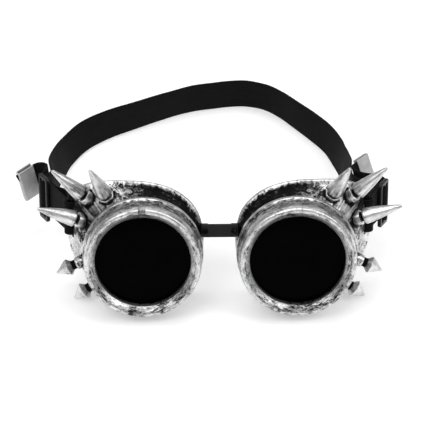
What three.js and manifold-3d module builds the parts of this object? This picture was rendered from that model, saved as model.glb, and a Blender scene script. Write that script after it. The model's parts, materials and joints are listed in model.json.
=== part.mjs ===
// Spiked round goggles: two eye cups with screw-on retaining rings and tinted lenses, a flexible nose
// bridge and an elastic head strap with sliders and metal end clamps.
//
// Units are millimetres. The goggles stand on a table (+Z up): +X is the viewer's right and +Y points
// back from the lenses to the strap. The "face frame" of the two cups has its origin between the front
// edges of the rings, and leans back on the table by LEAN, so that the lenses look slightly upwards.

import * as THREE from "three";
import { mergeVertices } from "three/addons/utils/BufferGeometryUtils.js";
import Module from "manifold-3d";

const wasm = await Module();
wasm.setup();

// ---------------------------------------------------------------- driving dimensions
const GAP = 0.3; // clearance between neighbouring pieces
const LEAN = THREE.MathUtils.degToRad(15);
const LENS_HEIGHT = 34.95; // lens axis above the table at the ring's front edge
const HALF_SPACING = 40.6; // from the middle plane to each lens axis

const LENS_RADIUS = 27;
const LENS_FRONT = 6;
const LENS_THICKNESS = 3;
const GASKET_THICKNESS = 1.6;
const GASKET_HOLE = 24.8;

const OPENING_RADIUS = 25.2;
const RING_DEPTH = 15.3;
const COLLAR_RADIUS = 27.9; // over the thread
const COLLAR_BORE = 25.4;
const COLLAR_FRONT = LENS_FRONT + LENS_THICKNESS + GASKET_THICKNESS + 2 * GAP;
const COLLAR_END = RING_DEPTH + 1;
const NECK_RADIUS = 29.4; // where the cup's wall starts behind the ring
const WALL = 2.4;
const BEAD = 1.7; // radius of the rolled edge against the face

// The rolled edge's centre line round the eye: outwards from the lens axis, back, up.
const RIM = [
  [38.5, 35, 13],
  [38.4, 34.9, 23],
  [35.6, 33.6, 27.8],
  [30.6, 32.1, 31],
  [22.4, 30.6, 33.3],
  [9.8, 29.3, 33.9],
  [-3.8, 28.4, 33.1],
  [-16.3, 27.4, 29.3],
  [-25.6, 26.5, 21.6],
  [-29.7, 26, 12.4],
  [-30.6, 26.2, 2],
  [-28.3, 27.5, -10],
  [-21.4, 29.5, -19.6],
  [-10, 31.2, -24.6],
  [5, 32.2, -25.7],
  [20, 33.2, -23.4],
  [30.4, 34.4, -17.4],
  [36, 35.2, -8.8],
  [38.5, 35.1, 2],
];

// Large spikes: centre of the cone's base and its tip. Small spikes: back of the head and its tip.
const LARGE_SPIKES = {
  upper: { base: [19.8, 20.7, 31.6], tip: [27, 11.3, 48.3] },
  middle: { base: [32.3, 25, 30.1], tip: [47, 20, 44.9] },
  outer: { base: [36.2, 22, 17.2], tip: [54.9, 16, 25.2] },
};
const SMALL_SPIKES = {
  side: { base: [37.6, 21.5, -9.6], tip: [46, 21.5, -13.9] },
  lower: { base: [29.8, 21.5, -23], tip: [37.1, 21.5, -28.6] },
};
const SPIKE_RADIUS = 4.4;
const SPIKE_TIP = 0.8;
const SPIKE_NECK = 1.5;
const HEAD_RADIUS = 5.1; // to a corner of the hexagon
const HEAD_NECK = 2;
const SCREW_RADIUS = 1.5;
const SCREW_HEAD_RADIUS = 3.4;
const SCREW_HEAD_HEIGHT = 1.2;
const SCREW_DEPTH = 5.5; // how far a screw goes into its spike

const BRIDGE_HALF_LENGTH = 9.8;
const BRIDGE_HEIGHT = 7.2;
const BRIDGE_THICKNESS = 1.8;
const BRIDGE_Y = 21;
const BRIDGE_Z = 10;
const PEG_X = 7.6;
const TAB_HEIGHT = 6;

const WEBBING_WIDTH = 20;
const WEBBING = 1.4; // thickness
const LAYER = (WEBBING + GAP) / 2; // from the middle of two layers to the centre of either
const TURN = [79, 35, 13]; // middle of the rolled edge's straight length, which the strap turns round
const TURN_RADIUS = BEAD + 2.5 * GAP + WEBBING / 2;
const LAYERS_MEET = 4; // distance behind the edge at which the two layers lie together
const SLACK_SPAN = 20; // length over which the inner layer may bow inwards behind that
const STRAP_ANGLE = THREE.MathUtils.degToRad(24); // outwards from straight back
const SLIDER = { length: 12, height: 25.4, thickness: 2, bar: 2.1, rail: 2.2 };

// What differs between the two sides. A row is a point of the webbing's centre line on the table frame
// (outwards, back, up) and how far its upper edge leans outwards and back from there. Slack is how far
// the inner layer bows inwards in front of the slider.
const SIDES = {
  left: {
    sign: -1,
    slider: 31.6,
    straight: 39.6,
    slack: 3,
    band: [
      [93, 75.8, 28.3, 0.3, 1.2],
      [90.6, 82, 26.3, 0.8, 0],
      [90.7, 90, 23.8, 1.6, -0.2],
      [91.1, 103, 19.4, 2.6, 0.1],
      [89.2, 118, 14.8, 3.2, 0.6],
      [84.8, 137, 10.1, 2.4, 1],
      [76, 151.4, 10.1, 1.9, 1.3],
      [62.5, 163, 10.1, 1, 1],
      [46.8, 172, 10.1, 0.3, 0.4],
      [29.6, 181.5, 10.1, 0, 0],
      [12, 189.6, 10.1, 0, 0],
      [-1, 192.5, 10.1, 0, 0],
    ],
    tail: [
      [95.2, 76.2, 30, 0, 2.3],
      [93.4, 79.9, 30.8, 0.3, 1.6],
      [93, 82.6, 31.2, 1.3, 0.2],
      [94, 84.5, 31.4, 2.3, -0.9],
      [95.9, 85.2, 31.5, 2.9, -1.7],
      [97.9, 84.8, 31.3, 3.2, -2.2],
      [99.5, 83.7, 30.9, 3.24, -2.39],
    ],
  },
  right: {
    sign: 1,
    slider: 18.6,
    straight: 26.6,
    slack: 0,
    band: [
      [87.9, 62.9, 31.6, 0, 2.6],
      [84.2, 64.3, 31, -0.4, 2.6],
      [80.2, 65.1, 30.6, -0.8, 2.4],
      [76.9, 67.5, 30.2, -1, 1.6],
      [74.4, 72.4, 29.6, -0.8, 0.8],
      [73.8, 80, 28, 0, 0],
      [73.5, 94, 23.2, 1.7, -0.1],
      [73, 107, 17.4, 2.1, 0.2],
      [72.8, 121, 12.2, 1.5, 0.4],
      [70.9, 133, 10.1, 1.9, 0.9],
      [66.3, 146, 10.1, 1.4, 1],
      [58.2, 159, 10.1, 1, 1],
      [49.2, 171, 10.1, 0.5, 0.7],
      [40.6, 182, 10.1, 0.2, 0.3],
      [31.5, 190.2, 10.1, 0, 0],
      [20, 194.4, 10.1, 0, 0],
      [11, 194.3, 10.1, 0, 0],
    ],
    tail: [
      [90, 64.6, 32.2, 0, 2.6],
      [85, 67.4, 32.1, -0.6, 2.9],
      [80.4, 69.4, 31.8, -1.5, 3.2],
      [77.5, 72.3, 31.9, -2.2, 3.4],
      [76.8, 75.4, 32.3, -2.7, 3.5],
      [78.5, 77.5, 32.3, -2.8, 3.5],
    ],
  },
};
const BACK_OF_STRAP = [5, 193.4, 10.1];
const CLAMP = { length: 9, sheet: 0.6 };

// ---------------------------------------------------------------- shape helpers
const vector = ([x, y, z]) => new THREE.Vector3(x, y, z);
const mix = THREE.MathUtils.lerp;

function solidOf(geometry) {
  const bare = geometry.clone();
  bare.deleteAttribute("normal");
  bare.deleteAttribute("uv");
  const merged = mergeVertices(bare, 1e-5);
  return new wasm.Manifold(new wasm.Mesh({
    numProp: 3,
    vertProperties: new Float32Array(merged.attributes.position.array),
    triVerts: new Uint32Array(merged.index.array),
  }));
}

function geometryOf(solid) {
  const mesh = solid.getMesh();
  const geometry = new THREE.BufferGeometry();
  geometry.setAttribute("position", new THREE.BufferAttribute(new Float32Array(mesh.vertProperties), 3));
  geometry.setIndex(new THREE.BufferAttribute(new Uint32Array(mesh.triVerts), 1));
  return geometry;
}

const join = (...pieces) => geometryOf(pieces.map(solidOf).reduce((sum, piece) => sum.add(piece)));
const cut = (body, ...tools) =>
  geometryOf(tools.map(solidOf).reduce((rest, tool) => rest.subtract(tool), solidOf(body)));

// The closed surface over rows of points, each row a closed loop, with a flat fan over each end.
function skin(rows) {
  const width = rows[0].length;
  const points = rows.flat();
  const centre = (row) => row.reduce((sum, p) => sum.add(p), new THREE.Vector3()).divideScalar(width);
  points.push(centre(rows[0]), centre(rows.at(-1)));
  const first = points.length - 2;
  const index = [];
  for (let j = 0; j < width; j += 1) {
    const k = (j + 1) % width;
    for (let i = 0; i + 1 < rows.length; i += 1) {
      const a = i * width;
      const b = a + width;
      index.push(a + j, b + j, b + k, a + j, b + k, a + k);
    }
    const last = (rows.length - 1) * width;
    index.push(first, j, k, first + 1, last + k, last + j);
  }
  const geometry = new THREE.BufferGeometry().setFromPoints(points);
  geometry.setIndex(index);
  return facingOut(geometry);
}

function facingOut(geometry) {
  const p = geometry.attributes.position;
  const index = geometry.index.array;
  const [a, b, c] = [new THREE.Vector3(), new THREE.Vector3(), new THREE.Vector3()];
  let volume = 0;
  for (let i = 0; i < index.length; i += 3) {
    a.fromBufferAttribute(p, index[i]);
    b.fromBufferAttribute(p, index[i + 1]);
    c.fromBufferAttribute(p, index[i + 2]);
    volume += a.dot(b.cross(c));
  }
  if (volume < 0) index.reverse();
  return geometry;
}

function mirrored(geometry) {
  const copy = geometry.index ? geometry.clone() : mergeVertices(geometry);
  copy.applyMatrix4(new THREE.Matrix4().makeScale(-1, 1, 1));
  copy.index.array.reverse();
  return copy;
}

const lathe = (profile, segments) =>
  new THREE.LatheGeometry(profile.map(([r, y]) => new THREE.Vector2(r, y)), segments);

// A copy of a shape made along +Y, moved to start at base and to point along direction.
function pointed(geometry, base, direction) {
  const turn = new THREE.Quaternion().setFromUnitVectors(new THREE.Vector3(0, 1, 0), direction);
  return geometry.clone().applyQuaternion(turn).translate(base.x, base.y, base.z);
}

function rod(radius, from, to, segments) {
  return new THREE.CylinderGeometry(radius, radius, to - from, segments).translate(0, (from + to) / 2, 0);
}

function box(size, centre) {
  return new THREE.BoxGeometry(...size).translate(...centre);
}

function roundedRectangle(width, height, radius, target = new THREE.Shape()) {
  const [x, y] = [width / 2, height / 2];
  target.moveTo(-x + radius, -y);
  target.lineTo(x - radius, -y);
  target.absarc(x - radius, -y + radius, radius, -Math.PI / 2, 0);
  target.absarc(x - radius, y - radius, radius, 0, Math.PI / 2);
  target.absarc(-x + radius, y - radius, radius, Math.PI / 2, Math.PI);
  target.absarc(-x + radius, -y + radius, radius, Math.PI, Math.PI * 1.5);
  return target;
}

// ---------------------------------------------------------------- eye cup
const RIM_STATIONS = 36;
const rimCurve = new THREE.CatmullRomCurve3(RIM.map(vector), true);
const rim = rimCurve.getPoints(RIM_STATIONS).slice(0, RIM_STATIONS).map((p) => ({
  angle: Math.atan2(p.z, p.x),
  radius: Math.hypot(p.x, p.z),
  depth: p.y,
}));

// The rolled edge's radius and depth in the direction of an angle round the lens axis.
function rimAt(angle) {
  const turn = (x) => THREE.MathUtils.euclideanModulo(x, Math.PI * 2);
  const ordered = rim.map((s) => ({ ...s, ahead: turn(s.angle - angle) })).sort((a, b) => a.ahead - b.ahead);
  const next = ordered[0];
  const last = ordered.at(-1);
  const share = next.ahead / (next.ahead + Math.PI * 2 - last.ahead);
  return { radius: mix(next.radius, last.radius, share), depth: mix(next.depth, last.depth, share) };
}

// One loop round the cup, with its radius and depth worked out for each station of the rim.
const loop = (shape) => rim.map((station) => {
  const [radius, depth] = shape(station);
  return new THREE.Vector3(radius * Math.cos(station.angle), depth, radius * Math.sin(station.angle));
});

// The wall runs from the neck to the rolled edge, steep at first and flatter towards the edge.
const BEND = 0.85;
const wallRadius = (station, share) => mix(NECK_RADIUS, station.radius - 0.6, share ** BEND);
const wallDepth = (station, share) => mix(COLLAR_END + 0.1, station.depth - BEAD, share);

function cupOutside() {
  const rows = [
    loop(() => [COLLAR_RADIUS, COLLAR_FRONT]),
    loop(() => [COLLAR_RADIUS, COLLAR_END]),
  ];
  for (const share of [0, 0.45, 0.95]) {
    rows.push(loop((s) => [wallRadius(s, share), wallDepth(s, share)]));
  }
  for (const degrees of [-50, 0, 45, 90]) {
    const turn = THREE.MathUtils.degToRad(degrees);
    rows.push(loop((s) => [s.radius + BEAD * Math.cos(turn), s.depth + BEAD * Math.sin(turn)]));
  }
  return skin(rows);
}

function cupHollow() {
  const rows = [
    loop(() => [COLLAR_BORE, 0]),
    loop(() => [COLLAR_BORE, COLLAR_END]),
  ];
  for (const share of [0.45, 1]) {
    rows.push(loop((s) => [wallRadius(s, share) - WALL, wallDepth(s, share) + 0.4]));
  }
  rows.push(loop((s) => [s.radius - BEAD * 0.7, s.depth + BEAD * 0.8]));
  rows.push(loop((s) => [s.radius, s.depth + 3 * BEAD]));
  return skin(rows);
}

// How far back along a spike's axis its screw meets the inside of the cup's wall.
function distanceToHollow(base, direction) {
  const step = 0.05;
  const p = base.clone();
  for (let distance = 0; distance < 30; distance += step) {
    const station = rimAt(Math.atan2(p.z, p.x));
    const share = (p.y - COLLAR_END) / (station.depth - BEAD - COLLAR_END);
    if (Math.hypot(p.x, p.z) < wallRadius(station, Math.max(share, 0)) - WALL) return distance;
    p.addScaledVector(direction, -step);
  }
  return 0;
}

const spikeAxes = Object.entries({ ...LARGE_SPIKES, ...SMALL_SPIKES }).map(([name, { base, tip }]) => {
  const large = name in LARGE_SPIKES;
  const start = vector(base);
  const direction = vector(tip).sub(start).normalize();
  const length = start.distanceTo(vector(tip));
  const neck = large ? SPIKE_NECK : HEAD_NECK;
  return { name, large, start, direction, length, neck, seat: distanceToHollow(start, direction) + 0.5 };
});

// Hexagonal bosses carry the large spikes, and round ones the small spikes.
function boss({ large, start, direction, neck, seat }) {
  const shape = rod(large ? SPIKE_RADIUS : 3.3, -seat, -neck - GAP, large ? 6 : 16);
  return pointed(shape, start, direction);
}

// The screw's hole through the wall and the boss, with a flat seat for its head inside the cup.
function screwHole({ start, direction, seat }) {
  const bore = rod(SCREW_RADIUS + GAP, -seat - 4, 2, 12);
  const flat = rod(SCREW_HEAD_RADIUS + 0.5, -seat - 8, -seat, 16);
  return pointed(join(bore, flat), start, direction);
}

// The strap passes through the wall just in front of the rolled edge and turns round that edge. Its slot
// is the space of the turn, so that it leaves a round bar and a hollow edge to the wall in front.
function strapSlot() {
  const half = WEBBING_WIDTH / 2 + 2 * GAP;
  const outer = rod(TURN_RADIUS + WEBBING / 2 + 2 * GAP, -half, half, 24);
  const bar = rod(TURN_RADIUS - WEBBING / 2 - GAP, -half - 1, half + 1, 16);
  return cut(outer, bar).rotateX(Math.PI / 2).translate(TURN[0] - HALF_SPACING, TURN[1], TURN[2]);
}

// A tab towards the nose, with a peg that the bridge snaps over.
function noseTab() {
  const x = PEG_X - HALF_SPACING;
  const front = BRIDGE_Y + BRIDGE_THICKNESS / 2 + GAP;
  const head = BRIDGE_Y - BRIDGE_THICKNESS / 2 - GAP;
  const tab = box([6.6, 2, TAB_HEIGHT], [x + 1.3, front + 1, BRIDGE_Z]);
  const peg = lathe([[0, head - 1], [1.2, head - 1], [1.6, head], [0.9, head], [0.9, front + 1], [0, front + 1]], 12);
  return join(tab, peg.translate(x, 0, BRIDGE_Z));
}

function eyeCup() {
  const hollow = cupHollow();
  const body = cut(join(cupOutside(), ...spikeAxes.map(boss)), hollow, strapSlot());
  return cut(join(body, cut(noseTab(), hollow)), ...spikeAxes.map(screwHole));
}

// ---------------------------------------------------------------- ring, lens and gasket
function retainingRing() {
  const ledge = LENS_FRONT - GAP;
  const thread = LENS_FRONT + LENS_THICKNESS + GASKET_THICKNESS + GAP;
  const threadBore = COLLAR_RADIUS + GAP;
  const lensBore = LENS_RADIUS + GAP;
  return lathe([
    [OPENING_RADIUS, 1.3],
    [28.3, 0],
    [29.8, 0],
    [30.7, 0.9],
    [31.1, 2.6],
    [31.1, 4.4],
    [30.8, 7.6],
    [31.1, 11.2],
    [31.9, 13.6],
    [32, RING_DEPTH],
    [threadBore, RING_DEPTH],
    [threadBore, thread],
    [lensBore, thread],
    [lensBore, ledge],
    [OPENING_RADIUS, ledge],
    [OPENING_RADIUS, 1.3],
  ], 40);
}

function tintedLens() {
  const back = LENS_FRONT + LENS_THICKNESS;
  return lathe([
    [0, LENS_FRONT],
    [LENS_RADIUS, LENS_FRONT],
    [LENS_RADIUS, back],
    [0, back],
  ], 36);
}

function gasket() {
  const front = LENS_FRONT + LENS_THICKNESS + GAP;
  const back = front + GASKET_THICKNESS - GAP;
  return lathe([
    [GASKET_HOLE, front],
    [LENS_RADIUS - 0.2, front],
    [LENS_RADIUS - 0.2, back],
    [GASKET_HOLE, back],
    [GASKET_HOLE, front],
  ], 32);
}

// ---------------------------------------------------------------- spikes and their screws
function largeSpike({ length, neck, start, direction }) {
  const profile = [
    [0, SCREW_DEPTH + GAP],
    [SCREW_RADIUS + GAP, SCREW_DEPTH + GAP],
    [SCREW_RADIUS + GAP, -neck],
    [2.7, -neck],
    [2.7, 0],
    [SPIKE_RADIUS - 0.3, 0],
  ];
  for (const share of [0.02, 0.25, 0.5, 0.75, 0.95]) {
    profile.push([mix(SPIKE_RADIUS, SPIKE_TIP, share ** 1.35), share * length]);
  }
  profile.push([SPIKE_TIP * 0.6, length - 0.1], [0, length]);
  return pointed(lathe(profile, 16), start, direction);
}

// A hexagonal arrowhead on a round neck.
function smallSpike({ length, neck, start, direction }) {
  const head = lathe([
    [0, 0],
    [2.9, 0],
    [HEAD_RADIUS, 2.2],
    [HEAD_RADIUS * 0.7, length * 0.5],
    [HEAD_RADIUS * 0.33, length * 0.8],
    [0.5, length - 0.3],
    [0, length],
  ], 6);
  const blank = join(head, rod(2.5, -neck, 0.5, 12));
  const bore = rod(SCREW_RADIUS + GAP, -neck - 1, SCREW_DEPTH - 1 + GAP, 12);
  return pointed(cut(blank, bore), start, direction);
}

// A screw from inside the cup into the back of a spike.
function spikeScrew({ large, start, direction, seat }) {
  const under = -seat - GAP;
  const end = large ? SCREW_DEPTH : SCREW_DEPTH - 1;
  const screw = lathe([
    [0, under - SCREW_HEAD_HEIGHT],
    [SCREW_HEAD_RADIUS * 0.8, under - SCREW_HEAD_HEIGHT],
    [SCREW_HEAD_RADIUS, under - SCREW_HEAD_HEIGHT / 2],
    [SCREW_HEAD_RADIUS, under],
    [SCREW_RADIUS, under],
    [SCREW_RADIUS, end],
    [0, end],
  ], 10);
  return pointed(screw, start, direction);
}

// ---------------------------------------------------------------- nose bridge
function noseBridge() {
  const shape = roundedRectangle(2 * BRIDGE_HALF_LENGTH, BRIDGE_HEIGHT, 1.6);
  for (const side of [-1, 1]) {
    const hole = new THREE.Path();
    hole.absarc(side * PEG_X, 0, 1 + GAP, 0, Math.PI * 2, true);
    shape.holes.push(hole);
  }
  const strip = new THREE.ExtrudeGeometry(shape, {
    depth: BRIDGE_THICKNESS,
    bevelEnabled: false,
    curveSegments: 5,
  });
  strip.rotateX(Math.PI / 2);
  return strip.translate(0, BRIDGE_Y + BRIDGE_THICKNESS / 2, BRIDGE_Z);
}

// ---------------------------------------------------------------- strap
const faceUp = new THREE.Vector3(0, Math.sin(LEAN), Math.cos(LEAN));

// A point of the face frame, given on the right-hand side, as it stands on the table.
function onTable(x, y, z) {
  return new THREE.Vector3(x, y, z)
    .applyAxisAngle(new THREE.Vector3(1, 0, 0), -LEAN)
    .add(new THREE.Vector3(0, 0, LENS_HEIGHT));
}

// A point of the double strap: its distance behind the rolled edge, and outwards from the middle layer.
function besideStrap(distance, offset) {
  const [sin, cos] = [Math.sin(STRAP_ANGLE), Math.cos(STRAP_ANGLE)];
  return onTable(TURN[0] + distance * sin + offset * cos, TURN[1] + distance * cos - offset * sin, TURN[2]);
}

// The direction of a path at one of its stations.
function alongAt(stations, i) {
  const before = stations[Math.max(i - 1, 0)].at;
  const after = stations[Math.min(i + 1, stations.length - 1)].at;
  return after.clone().sub(before).normalize();
}

// Webbing along a path: each station has the centre of the section and the direction of its upper edge.
function webbing(stations, width, thickness) {
  const rows = stations.map(({ at, up }, i) => {
    const upper = up.clone().setLength(width / 2);
    const outer = alongAt(stations, i).cross(upper).setLength(thickness / 2);
    return [[1, 1], [1, -1], [-1, -1], [-1, 1]].map(([a, b]) =>
      at.clone().addScaledVector(upper, a).addScaledVector(outer, b));
  });
  return skin(rows);
}

// Stations on a smooth curve through points and upper-edge directions.
function smooth(points, ups, perSpan) {
  const count = perSpan * (points.length - 1);
  const path = new THREE.CatmullRomCurve3(points);
  const edge = new THREE.CatmullRomCurve3(ups);
  return Array.from({ length: count + 1 }, (_, i) => ({
    at: path.getPoint(i / count),
    up: edge.getPoint(i / count).normalize(),
  }));
}

// The same stations with each upper edge turned square to the path.
const squared = (stations) => stations.map(({ at, up }, i) => {
  const along = alongAt(stations, i);
  return { at, up: up.clone().addScaledVector(along, -up.dot(along)).normalize() };
});

const handedPoint = (side, x, y, z) => new THREE.Vector3(side.sign * x, y, z);
const centreOf = (side, [x, y, z]) => handedPoint(side, x, y, z);

function upperEdgeOf(side, row) {
  const [outwards, back] = row.slice(3);
  const half = WEBBING_WIDTH / 2;
  return handedPoint(side, outwards, back, Math.sqrt(half ** 2 - outwards ** 2 - back ** 2)).normalize();
}

function besideStrapOn(side, distance, offset) {
  const { x, y, z } = besideStrap(distance, offset);
  return { at: handedPoint(side, x, y, z), up: faceUp };
}

// How far the inner layer lies inwards of its straight course, at a distance behind the edge.
function bow(side, distance) {
  const share = THREE.MathUtils.clamp((distance - LAYERS_MEET) / SLACK_SPAN, 0, 1);
  return side.slack * Math.sin(Math.PI * share) ** 2;
}

function headBand(side) {
  const start = LAYERS_MEET + GAP;
  const straight = [0, 0.12, 0.24, 0.36, 0.5, 0.75, 1].map((share) => {
    const distance = mix(start, side.straight, share);
    return besideStrapOn(side, distance, -LAYER - bow(side, distance));
  });
  const lead = besideStrapOn(side, side.straight + 1, -LAYER - GAP);
  const points = [straight.at(-1).at, lead.at, ...side.band.map((row) => centreOf(side, row))];
  const ups = [faceUp, faceUp, ...side.band.map((row) => upperEdgeOf(side, row))];
  points.push(vector(BACK_OF_STRAP).add(new THREE.Vector3(side.sign * GAP / 2, 0, 0)));
  ups.push(new THREE.Vector3(0, 0, 1));
  const curve = squared(smooth(points, ups, 3)).slice(1);
  return webbing([...straight, ...curve], WEBBING_WIDTH, WEBBING);
}

// The strap's turn round the rolled edge, its second layer through the slider, and the loose tail.
function foldStations(side) {
  const stations = [];
  const add = (distance, offset) => stations.push(besideStrapOn(side, distance, offset));
  add(LAYERS_MEET, -LAYER);
  add(LAYERS_MEET - 1, -LAYER);
  add(LAYERS_MEET / 2, -(LAYER + TURN_RADIUS) / 2);
  for (let i = 0; i <= 6; i += 1) {
    const turn = Math.PI * (i / 6);
    add(-TURN_RADIUS * Math.sin(turn), -TURN_RADIUS * Math.cos(turn));
  }
  add(LAYERS_MEET / 2, (LAYER + TURN_RADIUS) / 2);
  add(LAYERS_MEET, LAYER);
  add(side.straight - 1, LAYER);
  return [...stations, ...tailStations(side).slice(1)];
}

function tailStations(side) {
  const starts = [
    besideStrapOn(side, side.straight - 1, LAYER),
    besideStrapOn(side, side.straight + 0.5, LAYER + 2 * GAP),
  ];
  const points = [...starts.map(({ at }) => at), ...side.tail.map((row) => centreOf(side, row))];
  const ups = [faceUp, faceUp, ...side.tail.map((row) => upperEdgeOf(side, row))];
  const curve = smooth(points, ups, 4);
  const end = curve.at(-1);
  const along = end.at.clone().sub(curve.at(-2).at).normalize();
  return [...curve, { at: end.at.clone().addScaledVector(along, CLAMP.length + 1), up: end.up }];
}

// A sheet-metal clamp folded over the end of the tail, open along its two long edges.
function endClamp(side) {
  const tail = tailStations(side);
  const end = tail.at(-1).at;
  const along = end.clone().sub(tail.at(-2).at).normalize();
  const up = tail.at(-1).up;
  const block = (from, to, width, thickness) => webbing(
    [from, to].map((distance) => ({ at: end.clone().addScaledVector(along, distance), up })),
    width,
    thickness,
  );
  const inside = WEBBING + 2 * GAP;
  const folded = block(-CLAMP.length, GAP + CLAMP.sheet, WEBBING_WIDTH + 0.8, inside + 2 * CLAMP.sheet);
  return cut(folded, block(-CLAMP.length - 1, GAP, WEBBING_WIDTH + 4, inside));
}

function strapSlider() {
  const { length, height, thickness, bar, rail } = SLIDER;
  const shape = roundedRectangle(length, height, 2.2);
  const window = (length - 3 * bar) / 2;
  for (const side of [-1, 1]) {
    const hole = roundedRectangle(window, height - 2 * rail, 0.6, new THREE.Path());
    hole.curves.forEach((curve) => shiftCurve(curve, side * (window + bar) / 2));
    shape.holes.push(hole);
  }
  const plate = new THREE.ExtrudeGeometry(shape, { depth: thickness, bevelEnabled: false, curveSegments: 3 });
  // Along the strap, up, outwards.
  return plate.translate(0, 0, LAYER + WEBBING / 2 + 1.5 * GAP);
}

function shiftCurve(curve, x) {
  if (curve.isLineCurve) {
    curve.v1.x += x;
    curve.v2.x += x;
  } else {
    curve.aX += x;
  }
}

// ---------------------------------------------------------------- assembly
const MATERIALS = {
  silver: { color: 0xa9a9a9, roughness: 0.38, metalness: 0.9 },
  glass: { color: 0x050506, roughness: 0.06, metalness: 0 },
  rubber: { color: 0x202021, roughness: 0.8, metalness: 0 },
  leather: { color: 0x2b2b2c, roughness: 0.6, metalness: 0 },
  elastic: { color: 0x18181a, roughness: 0.9, metalness: 0 },
  plastic: { color: 0x101011, roughness: 0.3, metalness: 0 },
  nickel: { color: 0xa8a8a4, roughness: 0.35, metalness: 1 },
  steel: { color: 0x8c8c8c, roughness: 0.4, metalness: 1 },
};

function piece(parent, name, geometry, material) {
  const mesh = new THREE.Mesh(geometry, new THREE.MeshStandardMaterial(MATERIALS[material]));
  mesh.name = name;
  parent.add(mesh);
  return mesh;
}

function eyePieces(face, name, side) {
  const eye = new THREE.Group();
  eye.position.x = side.sign * HALF_SPACING;
  face.add(eye);
  const handed = (geometry) => (side.sign < 0 ? mirrored(geometry) : geometry);
  piece(eye, `${name}_eye_cup`, handed(eyeCup()), "silver");
  piece(eye, `${name}_retaining_ring`, handed(retainingRing()), "silver");
  piece(eye, `${name}_tinted_lens`, handed(tintedLens()), "glass");
  piece(eye, `${name}_lens_gasket`, handed(gasket()), "rubber");
  for (const axis of spikeAxes) {
    const shape = axis.large ? largeSpike(axis) : smallSpike(axis);
    piece(eye, `${name}_${axis.name}_spike`, handed(shape), "silver");
    piece(eye, `${name}_${axis.name}_spike_screw`, handed(spikeScrew(axis)), "steel");
  }
}

function strapPieces(table, face, name, side) {
  piece(table, `${name}_strap_band`, headBand(side), "elastic");
  piece(table, `${name}_strap_fold`, webbing(foldStations(side), WEBBING_WIDTH, WEBBING), "elastic");
  piece(table, `${name}_end_clamp`, endClamp(side), "nickel");
  const slider = piece(face, `${name}_strap_slider`, strapSlider(), "plastic");
  const along = new THREE.Vector3(side.sign * Math.sin(STRAP_ANGLE), Math.cos(STRAP_ANGLE), 0);
  const up = new THREE.Vector3(0, 0, side.sign);
  const basis = new THREE.Matrix4().makeBasis(along, up, along.clone().cross(up));
  slider.quaternion.setFromRotationMatrix(basis);
  slider.position.set(
    side.sign * (TURN[0] + side.slider * Math.sin(STRAP_ANGLE)),
    TURN[1] + side.slider * Math.cos(STRAP_ANGLE),
    TURN[2],
  );
}

const table = new THREE.Group();
const face = new THREE.Group();
face.position.z = LENS_HEIGHT;
face.rotation.x = -LEAN;
table.add(face);
piece(face, "nose_bridge", noseBridge(), "leather");
for (const [name, side] of Object.entries(SIDES)) {
  eyePieces(face, name, side);
  strapPieces(table, face, name, side);
}

// The origin is under the middle of the whole object, on the table.
const goggles = new THREE.Group();
goggles.add(table);
const whole = new THREE.Box3().setFromObject(goggles, true);
const middle = whole.getCenter(new THREE.Vector3());
table.position.set(-middle.x, -middle.y, -whole.min.z);

export default goggles;
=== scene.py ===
# Spiked round goggles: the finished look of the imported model. Shapes are made in millimetres, in the
# frames that the CAD uses, and placed in the row frame in metres.
import json
import math

import bmesh
import bpy
import numpy as np
from mathutils import Matrix, Vector


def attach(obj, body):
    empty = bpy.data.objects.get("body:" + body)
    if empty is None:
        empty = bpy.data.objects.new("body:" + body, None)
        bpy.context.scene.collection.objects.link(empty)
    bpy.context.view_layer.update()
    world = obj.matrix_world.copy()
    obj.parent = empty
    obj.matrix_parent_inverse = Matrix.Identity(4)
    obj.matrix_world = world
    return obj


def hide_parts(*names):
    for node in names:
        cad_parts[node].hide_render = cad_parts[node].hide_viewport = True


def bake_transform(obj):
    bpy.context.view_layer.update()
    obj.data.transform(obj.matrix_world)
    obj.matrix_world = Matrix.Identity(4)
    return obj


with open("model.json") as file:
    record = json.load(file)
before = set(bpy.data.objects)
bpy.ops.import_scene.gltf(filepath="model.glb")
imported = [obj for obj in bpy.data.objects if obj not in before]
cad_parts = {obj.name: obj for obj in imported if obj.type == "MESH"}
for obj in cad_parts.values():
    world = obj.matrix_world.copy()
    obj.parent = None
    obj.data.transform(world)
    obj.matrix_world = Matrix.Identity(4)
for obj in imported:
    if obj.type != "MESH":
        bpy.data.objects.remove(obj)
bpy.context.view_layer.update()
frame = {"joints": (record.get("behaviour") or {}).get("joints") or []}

# ---------------- dimensions, in millimetres
MM = 0.001
GAP = 0.3
LENS_HEIGHT = 34.95  # lens axes above the table at the rings' front edges
RING_JOINT_DEPTH = 8  # the ring joint's point, behind the ring's front edge

LENS_RADIUS = 27
LENS_FRONT = 6
LENS_THICKNESS = 3
GASKET_THICKNESS = 1.6
GASKET_HOLE = 24.8

OPENING_RADIUS = 25.2
RING_DEPTH = 15.3
COLLAR_RADIUS = 27.9
COLLAR_BORE = 25.4
COLLAR_FRONT = LENS_FRONT + LENS_THICKNESS + GASKET_THICKNESS + 2 * GAP
COLLAR_END = RING_DEPTH + 1
NECK_RADIUS = 29.4
WALL = 2.4
BEAD = 1.7
PITCH = 2.5  # of the screw thread
THREAD_HEIGHT = 0.4

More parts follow.
